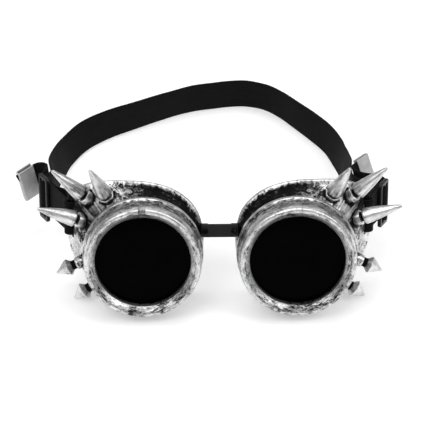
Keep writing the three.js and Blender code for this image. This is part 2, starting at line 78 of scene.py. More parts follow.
# The rolled edge's centre line round the eye: outwards from the lens axis, back, up.
RIM = [
    (38.5, 35, 13),
    (38.4, 34.9, 23),
    (35.6, 33.6, 27.8),
    (30.6, 32.1, 31),
    (22.4, 30.6, 33.3),
    (9.8, 29.3, 33.9),
    (-3.8, 28.4, 33.1),
    (-16.3, 27.4, 29.3),
    (-25.6, 26.5, 21.6),
    (-29.7, 26, 12.4),
    (-30.6, 26.2, 2),
    (-28.3, 27.5, -10),
    (-21.4, 29.5, -19.6),
    (-10, 31.2, -24.6),
    (5, 32.2, -25.7),
    (20, 33.2, -23.4),
    (30.4, 34.4, -17.4),
    (36, 35.2, -8.8),
    (38.5, 35.1, 2),
]

# Large spikes: centre of the cone's base and its tip. Small spikes: back of the head and its tip.
LARGE_SPIKES = {
    "upper": ((19.8, 20.7, 31.6), (27, 11.3, 48.3)),
    "middle": ((32.3, 25, 30.1), (47, 20, 44.9)),
    "outer": ((36.2, 22, 17.2), (54.9, 16, 25.2)),
}
SMALL_SPIKES = {
    "side": ((37.6, 21.5, -9.6), (46, 21.5, -13.9)),
    "lower": ((29.8, 21.5, -23), (37.1, 21.5, -28.6)),
}
SPIKE_RADIUS = 4.4
SPIKE_TIP = 0.8
SPIKE_NECK = 1.5
SPIKE_NECK_RADIUS = 2.7
HEAD_RADIUS = 5.1  # to a corner of the hexagon
HEAD_NECK = 2
HEAD_NECK_RADIUS = 2.5
HEAD_SHARPNESS = {"left": 0.85, "right": 0.35}  # how far a head's corners stand out
BLUNTED = 0.965  # where a hexagon's corners are cut off, as a share of its radius
SMALL_BOSS_RADIUS = 3.3
SCREW_RADIUS = 1.5
SCREW_HEAD_RADIUS = 3.4
SCREW_HEAD_HEIGHT = 1.2
SCREW_DEPTH = 5.5

BRIDGE_HALF_LENGTH = 9.8
BRIDGE_HEIGHT = 7.2
BRIDGE_THICKNESS = 1.8
BRIDGE_Y = 21
BRIDGE_Z = 10
PEG_X = 7.6
TAB_HEIGHT = 6
DIMPLE_X = 3.3

WEBBING_WIDTH = 20
WEBBING = 1.4
LAYER = (WEBBING + GAP) / 2
TURN = (79, 35, 13)  # middle of the rolled edge's straight length, which the strap turns round
TURN_RADIUS = BEAD + 2.5 * GAP + WEBBING / 2
LAYERS_MEET = 4
SLACK_SPAN = 20
STRAP_ANGLE = math.radians(24)
SLIDER_LENGTH = 12
SLIDER_HEIGHT = 25.4
SLIDER_THICKNESS = 2
SLIDER_BAR = 2.1
SLIDER_RAIL = 2.2
CLAMP_LENGTH = 9
CLAMP_SHEET = 0.6
BACK_OF_STRAP = (5, 193.4, 10.1)

# A row is a point of the webbing's centre line on the table frame (outwards, back, up) and how far
# its upper edge leans outwards and back from there.
LEFT_BAND = [
    (93, 75.8, 28.3, 0.3, 1.2), (90.6, 82, 26.3, 0.8, 0), (90.7, 90, 23.8, 1.6, -0.2),
    (91.1, 103, 19.4, 2.6, 0.1), (89.2, 118, 14.8, 3.2, 0.6), (84.8, 137, 10.1, 2.4, 1),
    (76, 151.4, 10.1, 1.9, 1.3), (62.5, 163, 10.1, 1, 1), (46.8, 172, 10.1, 0.3, 0.4),
    (29.6, 181.5, 10.1, 0, 0), (12, 189.6, 10.1, 0, 0), (-1, 192.5, 10.1, 0, 0),
]
LEFT_TAIL = [
    (95.2, 76.2, 30, 0, 2.3), (93.4, 79.9, 30.8, 0.3, 1.6), (93, 82.6, 31.2, 1.3, 0.2),
    (94, 84.5, 31.4, 2.3, -0.9), (95.9, 85.2, 31.5, 2.9, -1.7), (97.9, 84.8, 31.3, 3.2, -2.2),
    (99.5, 83.7, 30.9, 3.24, -2.39),
]
RIGHT_BAND = [
    (87.9, 62.9, 31.6, 0, 2.6), (84.2, 64.3, 31, -0.4, 2.6), (80.2, 65.1, 30.6, -0.8, 2.4),
    (76.9, 67.5, 30.2, -1, 1.6), (74.4, 72.4, 29.6, -0.8, 0.8), (73.8, 80, 28, 0, 0),
    (73.5, 94, 23.2, 1.7, -0.1), (73, 107, 17.4, 2.1, 0.2), (72.8, 121, 12.2, 1.5, 0.4),
    (70.9, 133, 10.1, 1.9, 0.9), (66.3, 146, 10.1, 1.4, 1), (58.2, 159, 10.1, 1, 1),
    (49.2, 171, 10.1, 0.5, 0.7), (40.6, 182, 10.1, 0.2, 0.3), (31.5, 190.2, 10.1, 0, 0),
    (20, 194.4, 10.1, 0, 0), (11, 194.3, 10.1, 0, 0),
]
RIGHT_TAIL = [
    (90, 64.6, 32.2, 0, 2.6), (85, 67.4, 32.1, -0.6, 2.9), (80.4, 69.4, 31.8, -1.5, 3.2),
    (77.5, 72.3, 31.9, -2.2, 3.4), (76.8, 75.4, 32.3, -2.7, 3.5), (78.5, 77.5, 32.3, -2.8, 3.5),
]

# Slack is how far the inner layer bows inwards in front of the slider.
SIDES = {
    "left": {
        "sign": -1,
        "slider": 31.6,
        "straight": 39.6,
        "slack": 3,
        "band": LEFT_BAND,
        "tail": LEFT_TAIL,
    },
    "right": {
        "sign": 1,
        "slider": 18.6,
        "straight": 26.6,
        "slack": 0,
        "band": RIGHT_BAND,
        "tail": RIGHT_TAIL,
    },
}

# Camera, in the frame of the two lenses: a long lens from a little above.
CAMERA_ELEVATION = math.radians(22.3)
CAMERA_AZIMUTH = math.radians(-1.26)
CAMERA_DISTANCE = 1138
CAMERA_TARGET = (-2.9, 0, 27.5)
FOCAL_LENGTH = 184.2
SENSOR = 36


# ---------------- frames
def face_frame():
    """Millimetres from between the rings' front edges (right, back, up) to the row frame."""
    joints = {joint["name"]: joint for joint in frame["joints"]}
    ends = [Vector(joints[f"{side}_ring_turn"]["pos_m"]) for side in SIDES]
    forward = Vector(joints["right_ring_turn"]["axis"]).normalized()
    across = Vector((1, 0, 0))
    up = across.cross(-forward)
    turn = Matrix((across, -forward, up)).transposed().to_4x4()
    origin = (ends[0] + ends[1]) / 2 + forward * RING_JOINT_DEPTH * MM
    return Matrix.Translation(origin) @ turn @ Matrix.Scale(MM, 4), (ends[1] - ends[0]).length / 2 / MM


FACE, HALF_SPACING = face_frame()
TABLE = Matrix.Translation(FACE.translation - Vector((0, 0, LENS_HEIGHT * MM))) @ Matrix.Scale(MM, 4)
FACE_ON_TABLE = TABLE.inverted() @ FACE
FACE_UP = (FACE_ON_TABLE.to_3x3() @ Vector((0, 0, 1))).normalized()


def eye_frame(side):
    """The frame of one eye: outwards, back and up from the lens axis at the ring's front edge."""
    sign = SIDES[side]["sign"]
    return FACE @ Matrix.Translation((sign * HALF_SPACING, 0, 0)) @ Matrix.Diagonal((sign, 1, 1, 1))


def axis_frame(base, direction):
    """The frame whose Y axis runs from base along direction."""
    turn = Vector((0, 1, 0)).rotation_difference(Vector(direction))
    return Matrix.Translation(base) @ turn.to_matrix().to_4x4()


def basis(along, up, origin):
    """The frame with X along, Y up and Z square to both."""
    return Matrix.Translation(origin) @ Matrix((along, up, along.cross(up))).transposed().to_4x4()


# ---------------- curves and outlines
def mix(a, b, share):
    return a + (b - a) * share


def smoothstep(low, high, value):
    share = min(max((value - low) / (high - low), 0), 1)
    return share * share * (3 - 2 * share)


def curve_point(points, place, closed=False):
    """The point of a centripetal curve through points, at place from 0 to the number of spans."""
    count = len(points)
    span = min(int(place), count - (1 if closed else 2))
    share = place - span
    if closed:
        p0, p1, p2, p3 = (np.array(points[(span + k) % count], float) for k in (-1, 0, 1, 2))
    else:
        p1, p2 = (np.array(points[span + k], float) for k in (0, 1))
        p0 = np.array(points[span - 1], float) if span else 2 * p1 - p2
        p3 = np.array(points[span + 2], float) if span + 2 < count else 2 * p2 - p1
    d1 = np.linalg.norm(p2 - p1) ** 0.5 or 1
    d0 = np.linalg.norm(p1 - p0) ** 0.5 or d1
    d2 = np.linalg.norm(p3 - p2) ** 0.5 or d1
    start = ((p1 - p0) / d0 - (p2 - p0) / (d0 + d1) + (p2 - p1) / d1) * d1
    end = ((p2 - p1) / d1 - (p3 - p1) / (d1 + d2) + (p3 - p2) / d2) * d1
    square, cube = share**2, share**3
    return (
        p1 * (2 * cube - 3 * square + 1)
        + start * (cube - 2 * square + share)
        + p2 * (3 * square - 2 * cube)
        + end * (cube - square)
    )


def rounded(corners, closed=True, steps=5):
    """The outline through corners (x, y, radius of the corner)."""
    points = []
    count = len(corners)
    for i, (x, y, radius) in enumerate(corners):
        corner = Vector((x, y))
        if radius == 0 or (not closed and i in (0, count - 1)):
            points.append((x, y))
            continue
        before = Vector(corners[i - 1][:2]) - corner
        after = Vector(corners[(i + 1) % count][:2]) - corner
        reach = min(radius / math.tan(before.angle(after) / 2), before.length / 2, after.length / 2)
        start = corner + before.normalized() * reach
        end = corner + after.normalized() * reach
        for k in range(steps + 1):
            share = k / steps
            point = start.lerp(corner, share).lerp(corner.lerp(end, share), share)
            points.append((point.x, point.y))
    return points


def rectangle(x0, y0, x1, y1, radius):
    return rounded([(x0, y0, radius), (x1, y0, radius), (x1, y1, radius), (x0, y1, radius)])


def circle(x, y, radius, count=24):
    turns = [2 * math.pi * k / count for k in range(count)]
    return [(x + radius * math.cos(turn), y + radius * math.sin(turn)) for turn in turns]


# ---------------- surfaces: (points, faces)
def revolve(outline, segments, closed=False, reshape=None):
    """An outline of (radius, along) turned round the Y axis. reshape changes a radius at an angle."""
    points, faces, rows = [], [], []
    for radius, along in outline:
        count = 1 if radius < 1e-6 else segments
        rows.append(range(len(points), len(points) + count))
        for k in range(count):
            angle = 2 * math.pi * k / segments
            r = reshape(radius, along, angle) if reshape else radius
            points.append((r * math.cos(angle), along, r * math.sin(angle)))
    pairs = list(zip(rows, rows[1:])) + ([(rows[-1], rows[0])] if closed else [])
    for a, b in pairs:
        for k in range(segments):
            m = (k + 1) % segments
            corners = [a[k % len(a)], a[m % len(a)], b[m % len(b)], b[k % len(b)]]
            face = list(dict.fromkeys(corners))
            if len(face) > 2:
                faces.append(face)
    return points, faces


def turned(corners, segments, reshape=None):
    """A solid turned round the Y axis, from the corners (radius, along, rounding) of its outline."""
    return revolve(rounded(corners, False), segments, reshape=reshape)


def loft(rows):
    """A closed surface over rows of points, each row a closed loop, with a flat end on each side."""
    width = len(rows[0])
    points = [tuple(p) for row in rows for p in row]
    faces = []
    for i in range(len(rows) - 1):
        for j in range(width):
            k = (j + 1) % width
            a, b = i * width, (i + 1) * width
            faces.append([a + j, a + k, b + k, b + j])
    last = (len(rows) - 1) * width
    faces.append(list(range(width)))
    faces.append(list(range(last, last + width)))
    return points, faces


def inset(loop, distance):
    """A loop moved to its own left by a distance."""
    moved = []
    count = len(loop)
    for i, point in enumerate(loop):
        p = Vector(point)
        before = (p - Vector(loop[i - 1])).normalized()
        after = (Vector(loop[(i + 1) % count]) - p).normalized()
        normal = Vector((-before.y - after.y, before.x + after.x))
        scale = max(normal.length_squared / 2, 0.3)
        moved.append(p + normal * distance / scale)
    return moved


def turning(loop):
    """Twice the loop's area: positive where it runs counterclockwise."""
    return sum(a[0] * b[1] - b[0] * a[1] for a, b in zip(loop, loop[1:] + loop[:1]))


def plate(outline, holes, thickness, bevel):
    """A flat piece in X and Y, centred on Z, with holes and rounded edges."""
    loops = [outline if turning(outline) > 0 else outline[::-1]]
    loops += [hole if turning(hole) < 0 else hole[::-1] for hole in holes]
    quarter = [math.radians(angle) for angle in (0, 30, 60, 90)]
    levels = [(bevel * (1 - math.sin(a)), bevel * (1 - math.cos(a)) - thickness / 2) for a in quarter]
    levels += [(distance, -z) for distance, z in reversed(levels)]
    bm = bmesh.new()
    ends = ([], [])
    for loop in loops:
        rows = [[bm.verts.new((p.x, p.y, z)) for p in inset(loop, distance)] for distance, z in levels]
        for row, above in zip(rows, rows[1:]):
            for k in range(len(row)):
                bm.faces.new((row[k - 1], row[k], above[k], above[k - 1]))
        for end, row in zip(ends, (rows[0], rows[-1])):
            end.extend(bm.edges.get((row[k - 1], row[k])) for k in range(len(row)))
    for end in ends:
        bmesh.ops.triangle_fill(bm, use_beauty=True, edges=end)
    bm.verts.index_update()
    points = [tuple(v.co) for v in bm.verts]
    faces = [[v.index for v in face.verts] for face in bm.faces]
    bm.free()
    return points, faces


def moved(surface, matrix):
    points, faces = surface
    return [tuple(matrix @ Vector(p)) for p in points], faces


# ---------------- objects
def new_object(name, surface):
    mesh = bpy.data.meshes.new(name)
    points, faces = surface
    mesh.from_pydata(points, [], faces)
    obj = bpy.data.objects.new(name, mesh)
    bpy.context.scene.collection.objects.link(obj)
    bm = bmesh.new()
    bm.from_mesh(mesh)
    bmesh.ops.recalc_face_normals(bm, faces=bm.faces)
    bm.to_mesh(mesh)
    bm.free()
    return obj


def combine(base, surfaces, operation):
    """Joins surfaces to an object, or cuts them from it."""
    tools = [new_object("tool", surface) for surface in surfaces]
    for tool in tools:
        modifier = base.modifiers.new("combine", "BOOLEAN")
        modifier.operation = operation
        modifier.solver = "EXACT"
        modifier.object = tool
    evaluated = base.evaluated_get(bpy.context.evaluated_depsgraph_get())
    shape = bpy.data.meshes.new_from_object(evaluated)
    base.modifiers.clear()
    base.data = shape
    for tool in tools:
        bpy.data.objects.remove(tool)


def store(obj, name, kind, key, values):
    """A value for each of an object's points, for its material to read."""
    attribute = obj.data.attributes.new(name, kind, "POINT")
    attribute.data.foreach_set(key, values)


def lay_grain(obj, places):
    store(obj, "grain", "FLOAT_VECTOR", "vector", [x for place in places for x in place])


def paint(obj, values):
    """Stores for each point where it lies in the material's grain (mm) and how worn it is (0 to 1), lowered
    by painted shade on the rings and cups.
    """
    pairs = [values(v.co) for v in obj.data.vertices]
    lay_grain(obj, [place for place, _ in pairs])
    store(obj, "polish_and_shade", "FLOAT", "value", [wear for _, wear in pairs])


def round_axis(radius, around, along, polish_and_shade):
    """Grain of a turned piece, drawn out by one factor round its Y axis and another along it."""
    def values(p):
        angle = math.atan2(p.z, p.x)
        reach = math.hypot(p.x, p.z)
        spread = radius / around
        place = (spread * math.cos(angle), spread * math.sin(angle), (p.y - reach) / along)
        return place, polish_and_shade(p)
    return values


def finished(obj, matrix, material, body, nodes, crease=35):
    """Moves an object into the row frame, shades and paints it, and puts it on its body."""
    mesh = obj.data
    mesh.transform(matrix)
    if matrix.to_3x3().determinant() < 0:
        mesh.flip_normals()
    bm = bmesh.new()
    bm.from_mesh(mesh)
    for edge in bm.edges:
        edge.smooth = edge.calc_face_angle(0) < math.radians(crease)
    for face in bm.faces:
        face.smooth = True
    bm.to_mesh(mesh)
    bm.free()
    mesh.materials.clear()
    mesh.materials.append(material)
    if body:
        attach(obj, body)
    if nodes:
        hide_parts(*nodes)
    return obj


def flatten_shading(obj):
    """Keeps broad flat faces flat beside rounded edges."""
    modifier = obj.modifiers.new("flat faces", "WEIGHTED_NORMAL")
    modifier.keep_sharp = True
    modifier.weight = 100


# ---------------- materials
class Nodes:
    """A material's node tree, with short ways to add and join nodes."""

    def __init__(self, name):
        self.material = bpy.data.materials.new(name)
        self.material.use_nodes = True
        self.tree = self.material.node_tree
        self.shader = self.tree.nodes["Principled BSDF"]

    def add(self, kind, inputs=None, **settings):
        node = self.tree.nodes.new(kind)
        for key, value in settings.items():
            setattr(node, key, value)
        for key, value in (inputs or {}).items():
            self.feed(node.inputs[key], value)
        return node

    def feed(self, socket, value):
        if isinstance(value, bpy.types.NodeSocket):
            self.tree.links.new(value, socket)
        else:
            socket.default_value = value

    def set(self, **inputs):
        for key, value in inputs.items():
            self.feed(self.shader.inputs[key.replace("_", " ")], value)
        return self.material

    def attribute(self, name, output):
        return self.add("ShaderNodeAttribute", attribute_name=name).outputs[output]

    def place(self, scale):
        """The place on the unmoved piece, in millimetres times scale."""
        position = self.add("ShaderNodeTexCoord").outputs["Object"]
        return self.stretch(position, (1000 * scale,) * 3)

    def stretch(self, vector, factors):
        return self.add("ShaderNodeVectorMath", {0: vector, 1: factors}, operation="MULTIPLY").outputs[0]

    def noise(self, vector, scale, detail=3, roughness=0.5, distortion=0):
        sizes = {"Scale": scale, "Detail": detail, "Roughness": roughness, "Distortion": distortion}
        return self.add("ShaderNodeTexNoise", {"Vector": vector, **sizes}).outputs["Fac"]

    def math(self, operation, *values, clamp=False):
        numbered = dict(enumerate(values))
        return self.add("ShaderNodeMath", numbered, operation=operation, use_clamp=clamp).outputs[0]

    def span(self, value, low, high, to_low=0, to_high=1):
        """value from low..high to to_low..to_high, smoothly and no further."""
        limits = {"Value": value, "From Min": low, "From Max": high, "To Min": to_low, "To Max": to_high}
        return self.add("ShaderNodeMapRange", limits, interpolation_type="SMOOTHSTEP").outputs[0]

    def colours(self, share, *stops):
        """A ramp through (place, grey or colour) stops."""
        ramp = self.add("ShaderNodeValToRGB", {"Fac": share}).color_ramp
        while len(ramp.elements) < len(stops):
            ramp.elements.new(0.5)
        for element, (place, colour) in zip(ramp.elements, stops):
            element.position = place
            element.color = (*colour, 1) if isinstance(colour, tuple) else (colour, colour, colour, 1)
        return self.tree.nodes[-1].outputs["Color"]

    def bump(self, height, distance, strength=1, normal=None):
        inputs = {"Height": height, "Distance": distance * MM, "Strength": strength}
        if normal:
            inputs["Normal"] = normal
        return self.add("ShaderNodeBump", inputs).outputs["Normal"]


def antique_silver():
    """Silver coat over black: brush strokes, dark recesses and bright worn edges."""
    n = Nodes("antique_silver")
    grain = n.attribute("grain", "Vector")
    # Wear per point, lowered by painted shade on the rings' undersides and beside the strap.
    polish_and_shade = n.attribute("polish_and_shade", "Fac")
    strokes = n.noise(grain, 0.9, 6, 0.72, 0.8)
    flecks = n.noise(grain, 2.6, 4, 0.65, 0.3)
    blotches = n.noise(n.place(0.12), 1, 4, 0.6)
    raw = n.math("MULTIPLY_ADD", strokes, 0.6, n.math("MULTIPLY", blotches, 0.4))
    raw = n.math("MULTIPLY_ADD", flecks, 0.3, raw)
    hollow = n.add("ShaderNodeAmbientOcclusion", {"Distance": 1.6 * MM}, samples=8).outputs["AO"]
    shelter = n.span(hollow, 0.3, 0.85, 0.14, 0)
    threshold = n.math("MULTIPLY_ADD", polish_and_shade, -0.42, 0.86)
    level = n.math("SUBTRACT", n.math("SUBTRACT", raw, threshold), shelter)
    shade = n.math("MULTIPLY_ADD", level, 2.9, 0.5, clamp=True)
    base = n.colours(shade, (0.2, 0.0015), (0.4, 0.018), (0.52, 0.16), (0.62, 0.4), (0.8, 0.62), (1, 0.78))
    return n.set(
        Base_Color=base,
        Metallic=n.span(shade, 0.4, 0.56, 0, 0.97),
        Roughness=n.math("MULTIPLY_ADD", flecks, 0.2, n.span(shade, 0.4, 0.8, 0.42, 0.2)),
        Specular_IOR_Level=0.05,
        Normal=n.bump(n.math("MULTIPLY_ADD", shade, 0.4, raw), 0.1, 0.6),
    )


def tinted_glass():
    n = Nodes("tinted_glass")
    smear = n.noise(n.place(0.08), 1, 3, 0.5)
    return n.set(
        Base_Color=n.colours(smear, (0.3, 0.0002), (0.8, 0.0008)),
        Roughness=n.span(smear, 0.35, 0.7, 0.05, 0.1),
        Specular_IOR_Level=0.012,
    )


def rubber():
    n = Nodes("rubber")
    speck = n.noise(n.place(2.5), 1, 4, 0.6)
    return n.set(
        Base_Color=n.colours(speck, (0.3, 0.012), (0.7, 0.022)),
        Roughness=n.span(speck, 0.3, 0.7, 0.62, 0.8),
        Normal=n.bump(speck, 0.02, 0.5),
    )


def bridge_leather():
    """Dark grey strip with a fine pebbled face."""
    n = Nodes("leather")
    pebble = n.add("ShaderNodeTexVoronoi", {"Vector": n.place(1.9), "Scale": 1.0}).outputs["Distance"]
    cloud = n.noise(n.place(0.35), 1, 4, 0.6)
    return n.set(
        Base_Color=n.colours(cloud, (0.3, (0.006, 0.006, 0.0065)), (0.7, (0.013, 0.013, 0.0135))),
        Roughness=n.span(cloud, 0.3, 0.7, 0.55, 0.7),
        Specular_IOR_Level=0.28,
        Normal=n.bump(n.math("ADD", pebble, n.math("MULTIPLY", cloud, 0.5)), 0.05, 0.45),
    )


def elastic():
    """Woven elastic: lengthwise ribs, a fine crosswise weave and a closer woven edge."""
    n = Nodes("elastic")
    split = n.add("ShaderNodeSeparateXYZ", {"Vector": n.attribute("grain", "Vector")})
    across, along = split.outputs["X"], split.outputs["Y"]
    ribs = n.span(n.math("SINE", n.math("MULTIPLY", across, 2 * math.pi / 1.25)), -0.9, 0.5)
    threads = n.math("SINE", n.math("MULTIPLY", along, 2 * math.pi / 0.62))
    offset = n.math("SINE", n.math("MULTIPLY_ADD", across, 2 * math.pi / 0.62, math.pi / 3))
    weave = n.span(n.math("MULTIPLY", threads, offset), -0.8, 0.8)
    edge = n.span(n.math("ABSOLUTE", across), WEBBING_WIDTH / 2 - 1.7, WEBBING_WIDTH / 2 - 1.3)
    stretched = n.stretch(n.attribute("grain", "Vector"), (1.6, 0.08, 1))
    wear = n.noise(stretched, 1, 4, 0.6)
    height = n.math("MULTIPLY_ADD", ribs, 0.7, n.math("MULTIPLY", weave, 0.35))
    height = n.math("MAXIMUM", height, n.math("MULTIPLY", edge, n.math("MULTIPLY_ADD", weave, 0.4, 0.5)))
    tone = n.math("MULTIPLY_ADD", ribs, 0.3, n.math("MULTIPLY", wear, 0.7))
    return n.set(
        Base_Color=n.colours(tone, (0.25, (0.0015, 0.0015, 0.0016)), (0.75, (0.007, 0.007, 0.0074))),
        Roughness=0.9,
        Sheen_Weight=0.02,
        Sheen_Roughness=0.5,
        Specular_IOR_Level=0.1,
        Normal=n.bump(height, 0.16, 0.8),
    )


def slider_plastic():
    n = Nodes("slider_plastic")
    grain = n.noise(n.place(3.2), 1, 3, 0.6)
    scuff = n.noise(n.stretch(n.place(1), (0.3, 0.3, 1.6)), 1, 4, 0.6)
    return n.set(
        Base_Color=n.colours(scuff, (0.35, 0.004), (0.75, 0.011)),
        Roughness=n.span(scuff, 0.35, 0.7, 0.26, 0.42),
        Specular_IOR_Level=0.25,
        Normal=n.bump(grain, 0.012, 0.5),
    )


def satin_nickel():
    n = Nodes("nickel")
    brushed = n.noise(n.stretch(n.attribute("grain", "Vector"), (6, 0.35, 6)), 1, 4, 0.6)
    cloud = n.noise(n.place(0.25), 1, 3, 0.5)
    return n.set(
        Base_Color=n.colours(cloud, (0.3, 0.4), (0.7, 0.52)),
        Metallic=0.35,
        Roughness=n.span(brushed, 0.3, 0.7, 0.42, 0.56),
        Normal=n.bump(brushed, 0.01, 0.5),
    )


def screw_steel():
    n = Nodes("screw_steel")
    grain = n.noise(n.place(1.4), 1, 4, 0.6)
    return n.set(
        Base_Color=n.colours(grain, (0.3, 0.3), (0.7, 0.48)),
        Metallic=1.0,
        Roughness=n.span(grain, 0.3, 0.7, 0.3, 0.48),
        Normal=n.bump(grain, 0.01, 0.5),
    )


SILVER = antique_silver()
GLASS = tinted_glass()
RUBBER = rubber()
LEATHER = bridge_leather()
ELASTIC = elastic()
PLASTIC = slider_plastic()
NICKEL = satin_nickel()
STEEL = screw_steel()


# ---------------- thread
def thread(hand):
    """Raises a radius into a rounded screw thread; hand is -1 in a mirrored frame."""
    def height(along, angle):
        turn = (along / PITCH + hand * angle / (2 * math.pi)) % 1
        return THREAD_HEIGHT * smoothstep(0, 0.5, 0.5 - abs(turn - 0.5))
    return height


# ---------------- eye cup
RIM_STATIONS = 144


def rim_stations():
    """(angle, radius, depth) of the rolled edge's centre line, in order round the eye."""
    stations = []
    for k in range(RIM_STATIONS):
        x, y, z = curve_point(RIM, k * len(RIM) / RIM_STATIONS, closed=True)
        stations.append((math.atan2(z, x), math.hypot(x, z), y))
    return stations


STATIONS = rim_stations()


def rim_at(angle):
    """The rolled edge's radius and depth in the direction of an angle round the lens axis."""
    def ahead(station):
        return (station[0] - angle) % (2 * math.pi)
    ordered = sorted(STATIONS, key=ahead)
    near, far = ordered[0], ordered[-1]
    share = ahead(near) / (ahead(near) + 2 * math.pi - ahead(far))
    return mix(near[1], far[1], share), mix(near[2], far[2], share)


def wall_radius(rim_radius, share):
    return mix(NECK_RADIUS, rim_radius - 0.6, share**0.85)


def wall_depth(rim_depth, share):
    return mix(COLLAR_END + 0.1, rim_depth - BEAD, share)


def loop(shape):
    """One loop round the cup, its radius and depth worked out for each station of the rim."""
    row = []
    for angle, rim_radius, rim_depth in STATIONS:
        radius, depth = shape(angle, rim_radius, rim_depth)
        row.append((radius * math.cos(angle), depth, radius * math.sin(angle)))
    return row


def collar_loop(depth, raised):
    def shape(angle, rim_radius, rim_depth):
        root = COLLAR_RADIUS - THREAD_HEIGHT / 2
        return (root + raised(depth, angle) if raised else root - 0.2), depth
    return loop(shape)


def bead_loop(degrees):
    """A loop of the rolled edge, which has a fine groove along its front."""
    turn = math.radians(degrees)
    radius = BEAD * (1 - 0.13 * math.exp(-(((degrees - 62) / 9) ** 2)))
    return loop(lambda _, rim, depth: (rim + radius * math.cos(turn), depth + radius * math.sin(turn)))


def cup_outside(hand):
    raised = thread(hand)
    rows = [collar_loop(COLLAR_FRONT, None)]
    first, last = COLLAR_FRONT + 0.3, COLLAR_END - 0.5
    count = 18
    rows += [collar_loop(mix(first, last, k / count), raised) for k in range(count + 1)]
    rows.append(collar_loop(COLLAR_END - 0.2, None))
    rows.append(loop(lambda _, rim, depth: (NECK_RADIUS - 1.2, COLLAR_END)))
    for k in range(14):
        share = 0.95 * k / 13
        rows.append(loop(lambda _, rim, depth: (wall_radius(rim, share), wall_depth(depth, share))))
    rows += [bead_loop(degrees) for degrees in range(-54, 181, 9)]
    return loft(rows)


def cup_hollow():
    rows = [
        loop(lambda *_: (COLLAR_BORE + 0.4, 0)),
        loop(lambda *_: (COLLAR_BORE + 0.4, COLLAR_FRONT)),
        loop(lambda *_: (COLLAR_BORE, COLLAR_FRONT + 0.4)),
        loop(lambda *_: (COLLAR_BORE, COLLAR_END)),
    ]
    for k in range(1, 12):
        share = k / 11
        rows.append(loop(
            lambda _, rim, depth: (wall_radius(rim, share) - WALL, wall_depth(depth, share) + 0.4)))
    for degrees in (195, 180, 165, 150, 135):
        turn = math.radians(degrees)
        rows.append(loop(
            lambda _, rim, depth: (rim + BEAD * math.cos(turn), depth + BEAD * math.sin(turn))))
    rows.append(loop(lambda _, rim, depth: (rim - BEAD * 0.6, depth + 3 * BEAD)))
    return loft(rows)


def distance_to_hollow(base, direction):
    """How far back along a spike's axis its screw meets the inside of the cup's wall."""
    step = 0.05
    point = Vector(base)
    for k in range(600):
        rim_radius, rim_depth = rim_at(math.atan2(point.z, point.x))
        share = max((point.y - COLLAR_END) / (rim_depth - BEAD - COLLAR_END), 0)
        if math.hypot(point.x, point.z) < wall_radius(rim_radius, share) - WALL:
            return k * step
        point -= direction * step
    return 0


def spike_axes():
    axes = []
    for name, (base, tip) in {**LARGE_SPIKES, **SMALL_SPIKES}.items():
        large = name in LARGE_SPIKES
        direction = (Vector(tip) - Vector(base)).normalized()
        axes.append({
            "name": name,
            "large": large,
            "frame": axis_frame(base, direction),
            "length": (Vector(tip) - Vector(base)).length,
            "neck": SPIKE_NECK if large else HEAD_NECK,
            "seat": distance_to_hollow(base, direction) + 0.5,
            "foot": Vector(base) - direction * 4,
        })
    return axes


AXES = spike_axes()


def hexagon(radius, _, angle):
    """A hexagon of a radius to its corners, which are slightly blunted."""
    sixth = math.pi / 3
    return radius * min(math.cos(sixth / 2) / math.cos(angle % sixth - sixth / 2), BLUNTED)


def boss(axis):
    """Hexagonal under a large spike and round under a small one."""
    seat, top = -axis["seat"], -axis["neck"] - GAP
    if axis["large"]:
        r = SPIKE_RADIUS
        solid = turned([(0, seat, 0), (r, seat, 0), (r, top, 0.5), (0, top, 0)], 48, hexagon)
    else:
        r = SMALL_BOSS_RADIUS
        solid = turned([(0, seat, 0), (r, seat, 0), (r, top, 0.6), (0, top, 0)], 48)
    return moved(solid, axis["frame"])


def screw_hole(axis):
    seat = -axis["seat"]
    outline = [
        (0, seat - 8),
        (SCREW_HEAD_RADIUS + 0.5, seat - 8),
        (SCREW_HEAD_RADIUS + 0.5, seat),
        (SCREW_RADIUS + GAP, seat),
        (SCREW_RADIUS + GAP, 2),
        (0, 2),
    ]
    return moved(revolve(outline, 32), axis["frame"])


def strap_slot():
    """The space round the rolled edge in which the strap turns, through the wall in front of it."""
    half = WEBBING_WIDTH / 2 + 2 * GAP
    inner = TURN_RADIUS - WEBBING / 2 - GAP
    outer = TURN_RADIUS + WEBBING / 2 + 2 * GAP
    outline = rounded([(inner, -half, 0), (outer, -half, 0.4), (outer, half, 0.4), (inner, half, 0)])
    middle = (TURN[0] - HALF_SPACING, TURN[1], TURN[2])
    return moved(revolve(outline, 72, closed=True), axis_frame(middle, (0, 0, 1)))


def nose_tab():
    """A tab towards the nose, with a peg that the bridge snaps over."""
    x = PEG_X - HALF_SPACING
    front = BRIDGE_Y + BRIDGE_THICKNESS / 2 + GAP
    head = BRIDGE_Y - BRIDGE_THICKNESS / 2 - GAP
    half = TAB_HEIGHT / 2
    tab = plate(rectangle(x - 2, -half, x + 4.6, half, 1.2), [], 2, 0.35)
    upright = Matrix.Translation((0, front + 1, BRIDGE_Z)) @ Matrix.Rotation(math.radians(90), 4, "X")
    base = front + 1
    corners = [(0, head - 1, 0), (1.3, head - 1, 0.5), (1.6, head, 0.2),
               (0.9, head, 0), (0.9, base, 0), (0, base, 0)]
    peg = moved(turned(corners, 32), Matrix.Translation((x, 0, BRIDGE_Z)))
    return moved(tab, upright), peg


def boss_wear(p):
    """Bright round the top of a boss and black where it meets the wall, or None away from the bosses."""
    for axis in AXES:
        local = axis["frame"].inverted() @ p
        top = -axis["neck"] - GAP
        radius = SPIKE_RADIUS if axis["large"] else SMALL_BOSS_RADIUS
        if math.hypot(local.x, local.z) < radius + 0.3 and -axis["seat"] < local.y < top + 0.1:
            return mix(0.25, 0.82, smoothstep(-1.6, -0.4, local.y - top))
    return None


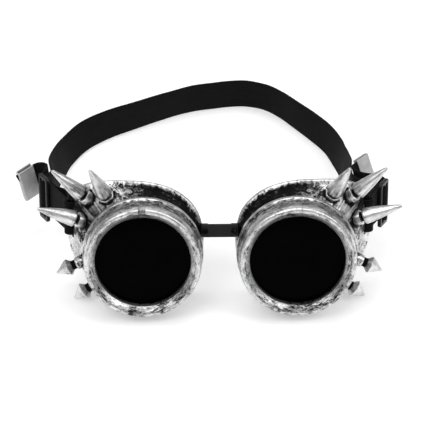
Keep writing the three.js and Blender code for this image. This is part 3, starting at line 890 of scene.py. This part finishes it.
def cup_wear_and_shade(p):
    """Bright on the rolled edge, black on the brow, silver-grey towards the temple and below, with painted
    shade where the strap wraps round the rolled edge.
    """
    on_boss = boss_wear(p)
    if on_boss is not None:
        return on_boss
    angle = math.atan2(p.z, p.x)
    radius = math.hypot(p.x, p.z)
    rim_radius, rim_depth = rim_at(angle)
    # Painted shade: the rolled edge and the wall beside it are painted darker where the strap wraps round
    # the edge.
    strap_shade = smoothstep(3, 7, p.z) * (1 - smoothstep(25, 29, p.z)) * smoothstep(30, 34, p.x)
    if math.hypot(radius - rim_radius, p.y - rim_depth) < BEAD + 0.12:
        crest = smoothstep(0.3, 1.4, radius - rim_radius)
        return mix(mix(0.34, 0.77, crest), 0.12, strap_shade)
    if p.y < COLLAR_END - 0.5:
        return 0.45
    brow = smoothstep(math.radians(15), math.radians(55), angle)
    towards_nose = smoothstep(math.radians(70), math.radians(110), angle)
    wear = mix(0.72, mix(0.42, 0.22, towards_nose), brow)
    near_spike = min((p - axis["foot"]).length for axis in AXES if axis["large"])
    near_small = min((p - axis["foot"]).length for axis in AXES if not axis["large"])
    wear = mix(0.56, wear, smoothstep(5, 13, near_spike))
    wear = mix(0.2, wear, smoothstep(3.5, 5, near_small))
    return mix(wear, 0.4, strap_shade)


def eye_cup(side):
    hand = SIDES[side]["sign"]
    cup = new_object(f"{side}_cup_shell", cup_outside(hand))
    tab, peg = nose_tab()
    combine(cup, [boss(axis) for axis in AXES] + [tab], "UNION")
    combine(cup, [cup_hollow(), strap_slot()] + [screw_hole(axis) for axis in AXES], "DIFFERENCE")
    combine(cup, [peg], "UNION")
    paint(cup, round_axis(34, 2.2, 1, cup_wear_and_shade))
    return finished(cup, eye_frame(side), SILVER, f"{side}_cup", [f"{side}_eye_cup"])


# ---------------- ring, lens and gasket
RING_SEGMENTS = 192


def retaining_ring(side):
    """A screw ring: rear flange, waisted side, round front shoulder and a bevel in to the lens."""
    ledge = LENS_FRONT - GAP
    threads_start = COLLAR_FRONT - GAP
    bore = COLLAR_RADIUS + GAP
    lens_bore = LENS_RADIUS + GAP
    corners = [
        (OPENING_RADIUS, 2.2, 0.35),
        (28.3, 0, 1.6),
        (30.2, 0, 1.6),
        (31.2, 3.2, 3),
        (30.6, 7, 5),
        (31, 11.6, 3),
        (31.9, 12.9, 0.7),
        (32, RING_DEPTH, 0.6),
        (bore, RING_DEPTH, 0.3),
    ]
    outline = rounded(corners, closed=False, steps=8)[1:]
    steps = 14
    outline += [(bore, mix(RING_DEPTH - 0.4, threads_start, k / steps)) for k in range(steps + 1)]
    outline += [
        (lens_bore, threads_start),
        (lens_bore, ledge),
        (OPENING_RADIUS, ledge),
        (OPENING_RADIUS, 2.6),
        (OPENING_RADIUS + 0.12, 2.35),
    ]
    raised = thread(SIDES[side]["sign"])

    def reshape(radius, along, angle):
        cut = abs(radius - bore) < 1e-6 and threads_start < along < RING_DEPTH - 0.3
        return radius + raised(along, angle) - THREAD_HEIGHT / 2 if cut else radius

    def wear(p):
        radius = math.hypot(p.x, p.z)
        # Painted shade: the coat is painted darker towards the ring's underside.
        underside_shade = 0.1 * smoothstep(5, -25, p.z)
        if p.y < 3.5:
            shoulder = smoothstep(27.4, 29.2, radius)
            return mix(0.56, 0.74, max(shoulder, 1 - smoothstep(25.4, 25.9, radius))) - underside_shade
        flange = smoothstep(31.35, 31.7, radius)
        return mix(0.54, 0.76, max(flange, 1 - smoothstep(3.5, 5, p.y))) - underside_shade

    ring = new_object(f"{side}_ring", revolve(outline, RING_SEGMENTS, closed=True, reshape=reshape))
    paint(ring, round_axis(31, 3, 1, wear))
    body = f"{side}_ring"
    return finished(ring, eye_frame(side), SILVER, body, [f"{side}_retaining_ring"])


def tinted_lens(side):
    front, back = LENS_FRONT, LENS_FRONT + LENS_THICKNESS
    r, bevel = LENS_RADIUS, 0.35
    disc = turned([(0, front, 0), (r, front, bevel), (r, back, bevel), (0, back, 0)], 128)
    lens = new_object(f"{side}_lens_glass", disc)
    return finished(lens, eye_frame(side), GLASS, f"{side}_lens", [f"{side}_tinted_lens"])


def lens_gasket(side):
    front = LENS_FRONT + LENS_THICKNESS + GAP
    back = front + GASKET_THICKNESS - GAP
    outline = rectangle(GASKET_HOLE, front, LENS_RADIUS - 0.2, back, 0.4)
    seal = new_object(f"{side}_gasket_seal", revolve(outline, 128, closed=True))
    return finished(seal, eye_frame(side), RUBBER, f"{side}_lens", [f"{side}_lens_gasket"])


# ---------------- spikes and their screws
def cone_radius(share):
    return mix(SPIKE_RADIUS, SPIKE_TIP, share**1.35)


def large_outline(length):
    outline = rounded(
        [(SPIKE_NECK_RADIUS, 0, 0.1), (SPIKE_RADIUS - 0.3, 0, 0.3), (SPIKE_RADIUS, 0.6, 0.5),
         (cone_radius(0.12), 0.12 * length, 0)], False)
    outline += [(cone_radius(share), share * length) for share in np.linspace(0.18, 0.95, 14)]
    tip = [(cone_radius(0.96), 0.96 * length, 0), (SPIKE_TIP, length, 0.7), (0, length, 0)]
    return outline + rounded(tip, False, 8)


def small_outline(length):
    return rounded(
        [(HEAD_NECK_RADIUS, 0, 0.2), (2.9, 0, 0.2), (HEAD_RADIUS, 2.2, 0.35),
         (HEAD_RADIUS * 0.7, length * 0.5, 3),
         (HEAD_RADIUS * 0.33, length * 0.8, 3), (0.5, length, 0.4), (0, length, 0)], False, 6)


def spike(side, axis):
    """A cone on a short neck, or a hexagonal arrowhead, with a threaded bore up its middle."""
    large, length, neck = axis["large"], axis["length"], axis["neck"]
    name = f"{side}_{axis['name']}"
    bore = SCREW_RADIUS + GAP
    bore_end = SCREW_DEPTH - (0 if large else 1) + GAP
    neck_radius = SPIKE_NECK_RADIUS if large else HEAD_NECK_RADIUS
    outline = [(0, bore_end), (bore, bore_end)]
    outline += rounded([(bore, -neck, 0), (neck_radius, -neck, 0.3), (neck_radius, -0.1, 0)], False)
    outline += large_outline(length) if large else small_outline(length)

    def faceted(radius, along, angle):
        on_head = not large and along > 0 and (radius, along) != (bore, bore_end)
        cut = mix(radius * 0.92, hexagon(radius, along, angle), HEAD_SHARPNESS[side])
        return cut if on_head else radius

    def wear(p):
        if p.y < 0:
            return 0.05
        if large:
            return mix(0.5, 0.76, smoothstep(0, 0.08, p.y / length))
        return mix(0.68, 0.82, smoothstep(1.6, 2.6, p.y))

    cone = new_object(f"{name}_cone", revolve(outline, 72, reshape=faceted))
    paint(cone, round_axis(3.4, 0.75, 9, wear))
    place = eye_frame(side) @ axis["frame"]
    return finished(cone, place, SILVER, f"{side}_cup", [f"{name}_spike"], 28)


def spike_screw(side, axis):
    """A round-headed screw with a hexagonal socket."""
    under = -axis["seat"] - GAP
    end = SCREW_DEPTH if axis["large"] else SCREW_DEPTH - 1
    top = under - SCREW_HEAD_HEIGHT
    socket = 1.5
    outline = [(0, top + 0.8), (socket, top + 0.8), (socket, top + 0.05)]
    r = SCREW_HEAD_RADIUS
    outline += rounded(
        [(socket + 0.2, top, 0), (r, top, 0.7), (r, under, 0.15), (SCREW_RADIUS, under, 0),
         (SCREW_RADIUS, end, 0.3), (0, end, 0)], False)

    def reshape(radius, along, angle):
        in_socket = radius <= socket and along < under and radius > 0
        return hexagon(radius, along, angle) if in_socket else radius

    name = f"{side}_{axis['name']}_spike_screw"
    screw = new_object(f"{name}_body", revolve(outline, 48, reshape=reshape))
    return finished(screw, eye_frame(side) @ axis["frame"], STEEL, f"{side}_cup", [name])


# ---------------- nose bridge
def bridge_half(side, stands_for):
    """Half of the punched strip. The halves meet in the middle plane, where each follows the root."""
    sign = SIDES[side]["sign"]
    half = BRIDGE_HEIGHT / 2
    end = BRIDGE_HALF_LENGTH
    outline = rounded([(-1, -half, 0), (end, -half, 1.6), (end, half, 1.6), (-1, half, 0)])
    hole = circle(PEG_X, 0, 1 + GAP, 32)
    strip = new_object(f"{side}_bridge_strip", plate(outline, [hole], BRIDGE_THICKNESS, 0.35))
    front = BRIDGE_THICKNESS / 2
    pit = [(0, front - 0.12), (0.7, front - 0.08), (1.2, front + 0.2), (0, front + 0.2)]
    lying = Matrix.Translation((DIMPLE_X, 0, 0)) @ Matrix.Rotation(math.radians(90), 4, "X")
    combine(strip, [moved(revolve(pit, 24), lying)], "DIFFERENCE")
    bm = bmesh.new()
    bm.from_mesh(strip.data)
    for x in np.arange(0, 9.5, 0.6):
        everything = bm.verts[:] + bm.edges[:] + bm.faces[:]
        cut = bmesh.ops.bisect_plane(
            bm, geom=everything, plane_co=(x, 0, 0), plane_no=(1, 0, 0), clear_inner=(x == 0))
        if x == 0:
            edges = [part for part in cut["geom_cut"] if isinstance(part, bmesh.types.BMEdge)]
            bmesh.ops.contextual_create(bm, geom=edges)
    bm.to_mesh(strip.data)
    bm.free()
    place = Matrix.Diagonal((sign, 1, 1, 1)) @ Matrix.Translation((0, BRIDGE_Y, BRIDGE_Z))
    place = FACE @ place @ Matrix.Rotation(math.radians(90), 4, "X")
    finished(strip, place, LEATHER, None, stands_for)
    flatten_shading(strip)
    end = FACE @ Vector((sign * PEG_X, BRIDGE_Y, BRIDGE_Z))
    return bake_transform(strip)


# ---------------- strap
def beside_strap(side, distance, offset):
    """(point, upper edge) of the double strap, behind the rolled edge and outwards from its middle."""
    sin, cos = math.sin(STRAP_ANGLE), math.cos(STRAP_ANGLE)
    point = Vector((
        side["sign"] * (TURN[0] + distance * sin + offset * cos),
        TURN[1] + distance * cos - offset * sin,
        TURN[2],
    ))
    return FACE_ON_TABLE @ point, FACE_UP


def row_station(side, row):
    out, back, up, lean_out, lean_back = row
    half = WEBBING_WIDTH / 2
    edge = Vector((side["sign"] * lean_out, lean_back, math.sqrt(half**2 - lean_out**2 - lean_back**2)))
    return Vector((side["sign"] * out, back, up)), edge.normalized()


def smooth(stations, per_span):
    """More stations on a smooth curve through the given ones."""
    points = [at for at, _ in stations]
    edges = [up for _, up in stations]
    places = np.linspace(0, len(stations) - 1, per_span * (len(stations) - 1) + 1)
    return [
        (Vector(curve_point(points, place)), Vector(curve_point(edges, place)).normalized())
        for place in places
    ]


def along_at(stations, i):
    before = stations[max(i - 1, 0)][0]
    after = stations[min(i + 1, len(stations) - 1)][0]
    return (after - before).normalized()


def squared(stations):
    """The same stations with each upper edge turned square to the path."""
    result = []
    for i, (at, up) in enumerate(stations):
        along = along_at(stations, i)
        result.append((at, (up - along * up.dot(along)).normalized()))
    return result


def band_stations(side):
    """From behind the head to where the two layers start to lie straight."""
    rows = [
        beside_strap(side, side["straight"], -LAYER),
        beside_strap(side, side["straight"] + 1, -LAYER - GAP),
        *[row_station(side, row) for row in side["band"]],
        (Vector(BACK_OF_STRAP), Vector((0, 0, 1))),
    ]
    return squared(smooth(rows, 8))[::-1]


def bow(side, distance):
    """How far the inner layer lies inwards of its straight course."""
    share = min(max((distance - LAYERS_MEET) / SLACK_SPAN, 0), 1)
    return side["slack"] * math.sin(math.pi * share) ** 2


def turn_stations(side):
    """The inner layer, the turn round the rolled edge and the outer layer."""
    def converging(distance):
        return mix(LAYER, TURN_RADIUS, smoothstep(0, 1, 1 - distance / LAYERS_MEET))
    last = side["straight"] - 1
    inner = list(np.linspace(side["straight"] - 1.5, LAYERS_MEET, 20)) + [3.3, 2.6, 1.9, 1.2, 0.6]
    outer = [0.6, 1.2, 1.9, 2.6, 3.3] + list(np.linspace(LAYERS_MEET, last, 14))[:-1]
    stations = [
        beside_strap(side, distance, -converging(distance) - bow(side, distance)) for distance in inner
    ]
    steps = 20
    for k in range(steps + 1):
        turn = math.pi * k / steps
        stations.append(beside_strap(side, -TURN_RADIUS * math.sin(turn), -TURN_RADIUS * math.cos(turn)))
    stations += [beside_strap(side, distance, converging(distance)) for distance in outer]
    return stations


def tail_stations(side):
    rows = [
        beside_strap(side, side["straight"] - 1, LAYER),
        beside_strap(side, side["straight"] + 0.5, LAYER + 2 * GAP),
        *[row_station(side, row) for row in side["tail"]],
    ]
    curve = smooth(rows, 8)
    end, up = curve[-1]
    coarse = smooth(rows, 4)
    along = (coarse[-1][0] - coarse[-2][0]).normalized()
    return curve + [(end + along * reach, up) for reach in np.linspace(0.5, CLAMP_LENGTH + 1, 8)]


def webbing(stations, width, thickness):
    """(surface, grain) of webbing along stations, with rounded edges."""
    edge = rounded([(-1, -1, 0.9), (1, -1, 0.9), (1, 1, 0.9), (-1, 1, 0.9)], steps=4)
    half, thin = width / 2, thickness / 2
    corner = [(math.copysign(half - thin, a) + (a - math.copysign(1, a)) * thin, b * thin) for a, b in edge]
    section = []
    for (a0, b0), (a1, b1) in zip(corner, corner[1:] + corner[:1]):
        pieces = max(1, round(abs(a1 - a0) / 1.2))
        section += [(mix(a0, a1, k / pieces), mix(b0, b1, k / pieces)) for k in range(pieces)]
    rows, grain = [], []
    length = 0
    for i, (at, up) in enumerate(stations):
        length += (at - stations[i - 1][0]).length if i else 0
        outer = along_at(stations, i).cross(up).normalized()
        rows.append([at + up * a + outer * b for a, b in section])
        grain += [(a, length, b) for a, b in section]
    return loft(rows), grain, length


def strap(name):
    side = SIDES[name]
    stations = band_stations(side) + turn_stations(side) + tail_stations(side)
    surface, grain, length = webbing(stations, WEBBING_WIDTH, WEBBING)
    strip = new_object(f"{name}_elastic", surface)
    lay_grain(strip, grain)
    finished(strip, TABLE, ELASTIC, None, [f"{name}_strap_band", f"{name}_strap_fold"], 50)
    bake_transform(strip)
    return strip


def end_clamp(name):
    """Sheet metal folded over the end of the tail, open along its two long edges."""
    tail = tail_stations(SIDES[name])
    end, up = tail[-1]
    along = (end - tail[-2][0]).normalized()
    inside = WEBBING / 2 + GAP
    outside = inside + CLAMP_SHEET
    tip = GAP + CLAMP_SHEET
    mouth = -CLAMP_LENGTH
    corners = [
        (mouth, -outside, 0.2), (tip, -outside, 1.2), (tip, outside, 1.2), (mouth, outside, 0.2),
        (mouth, inside, 0.2), (GAP, inside, 0.6), (GAP, -inside, 0.6), (mouth, -inside, 0.2),
    ]
    sheet = plate(rounded(corners), [], WEBBING_WIDTH + 0.8, 0.15)
    clamp = new_object(f"{name}_clamp_sheet", sheet)
    lay_grain(clamp, [tuple(v.co) for v in clamp.data.vertices])
    outwards = along.cross(up).normalized()
    place = TABLE @ basis(along, outwards, end)
    finished(clamp, place, NICKEL, f"{name}_cup", [f"{name}_end_clamp"], 50)
    flatten_shading(clamp)
    return clamp


def slider_frame(side):
    sin, cos = math.sin(STRAP_ANGLE), math.cos(STRAP_ANGLE)
    sign, distance = side["sign"], side["slider"]
    along = Vector((sign * sin, cos, 0))
    origin = (sign * (TURN[0] + distance * sin), TURN[1] + distance * cos, TURN[2])
    return FACE @ basis(along, Vector((0, 0, sign)), origin)


def strap_slider(name):
    """A moulded plate with two windows, and the webbing that crosses its middle bar."""
    side = SIDES[name]
    half_window = (SLIDER_LENGTH - 3 * SLIDER_BAR) / 4
    middle = half_window + SLIDER_BAR / 2
    height = SLIDER_HEIGHT / 2
    rail = height - SLIDER_RAIL
    holes = [
        rectangle(at - half_window, -rail, at + half_window, rail, 0.6)
        for at in (-middle, middle)
    ]
    outline = rectangle(-SLIDER_LENGTH / 2, -height, SLIDER_LENGTH / 2, height, 2.2)
    inner_face = LAYER + WEBBING / 2 + 1.5 * GAP
    frame_plate = plate(outline, holes, SLIDER_THICKNESS, 0.55)
    body = new_object(f"{name}_slider_frame", frame_plate)
    place = slider_frame(side) @ Matrix.Translation((0, 0, inner_face + SLIDER_THICKNESS / 2))
    finished(body, place, PLASTIC, f"{name}_slider", [f"{name}_strap_slider"])
    flatten_shading(body)

    top = inner_face + SLIDER_THICKNESS + WEBBING / 2 - 0.1
    climb = [(3.7, LAYER), (2.9, LAYER + 0.9), (2, top - 0.9), (1, top)]
    humps = [(-x, z) for x, z in climb] + climb[::-1]
    up = Vector((0, 1, 0))
    stations = smooth([(Vector((x, 0, z)), up) for x, z in humps], 6)
    surface, grain, _ = webbing(stations, WEBBING_WIDTH, WEBBING * 0.8)
    over_bar = new_object(f"{name}_webbing_over_bar", surface)
    lay_grain(over_bar, grain)
    finished(over_bar, slider_frame(side), ELASTIC, f"{name}_slider", [], 50)


# ---------------- stage
def stage():
    floor = new_object("floor", ([(-4, -4, 0), (4, -4, 0), (4, 4, 0), (-4, 4, 0)], [[0, 1, 2, 3]]))
    n = Nodes("pale_floor")
    n.set(Base_Color=(0.75, 0.75, 0.75, 1), Roughness=0.9, Specular_IOR_Level=0.1)
    n.set(Emission_Color=(1, 1, 1, 1), Emission_Strength=0.35)
    floor.data.materials.append(n.material)


def soft_light(name, place, target, size, watts):
    light = bpy.data.lights.new(name, "AREA")
    light.shape = "RECTANGLE"
    light.size, light.size_y = size
    light.energy = watts
    obj = bpy.data.objects.new(name, light)
    bpy.context.scene.collection.objects.link(obj)
    obj.location = place
    obj.rotation_euler = (Vector(target) - Vector(place)).to_track_quat("-Z", "Y").to_euler()


def lights():
    """A tent that is brightest overhead, and three large soft boxes."""
    world = bpy.data.worlds.new("studio")
    world.use_nodes = True
    tree = world.node_tree
    direction = tree.nodes.new("ShaderNodeTexCoord").outputs["Generated"]
    split = tree.nodes.new("ShaderNodeSeparateXYZ")
    fade = tree.nodes.new("ShaderNodeMapRange")
    for name, value in {"From Min": 0.05, "From Max": 0.8, "To Min": 0.22, "To Max": 0.7}.items():
        fade.inputs[name].default_value = value
    tree.links.new(direction, split.inputs[0])
    tree.links.new(split.outputs["Z"], fade.inputs["Value"])
    background = tree.nodes["Background"].inputs
    background["Color"].default_value = (1, 1, 1, 1)
    tree.links.new(fade.outputs[0], background["Strength"])
    scene = bpy.context.scene
    scene.world = world
    scene.view_settings.view_transform = "Standard"
    soft_light("key", (-0.45, -0.6, 1.0), (0, -0.05, 0.03), (0.6, 0.6), 4.2)
    soft_light("fill", (0.75, -0.35, 0.8), (0, -0.05, 0.03), (0.4, 0.7), 2.8)
    soft_light("top", (0, 0.3, 1.2), (0, 0, 0), (1.1, 0.6), 5)


def camera():
    cos, sin = math.cos(CAMERA_ELEVATION), math.sin(CAMERA_ELEVATION)
    back = Vector((math.sin(CAMERA_AZIMUTH) * cos, -math.cos(CAMERA_AZIMUTH) * cos, sin))
    right = (-back).cross(Vector((0, 0, 1))).normalized()
    up = right.cross(-back)
    place = Vector(CAMERA_TARGET) + back * CAMERA_DISTANCE
    turn = FACE.to_3x3().normalized() @ Matrix((right, up, back)).transposed()
    data = bpy.data.cameras.new("camera")
    data.lens = FOCAL_LENGTH
    data.sensor_width = SENSOR
    data.clip_start = 0.05
    obj = bpy.data.objects.new("camera", data)
    obj.matrix_world = Matrix.Translation(FACE @ place) @ turn.to_4x4()
    bpy.context.scene.collection.objects.link(obj)
    bpy.context.scene.camera = obj


# ---------------- assembly
camera()
stage()
lights()
for side_name in SIDES:
    eye_cup(side_name)
    retaining_ring(side_name)
    tinted_lens(side_name)
    lens_gasket(side_name)
    for spike_axis in AXES:
        spike(side_name, spike_axis)
        spike_screw(side_name, spike_axis)
    bridge_half(side_name, ["nose_bridge"])
    strap(side_name)
    end_clamp(side_name)
    strap_slider(side_name)
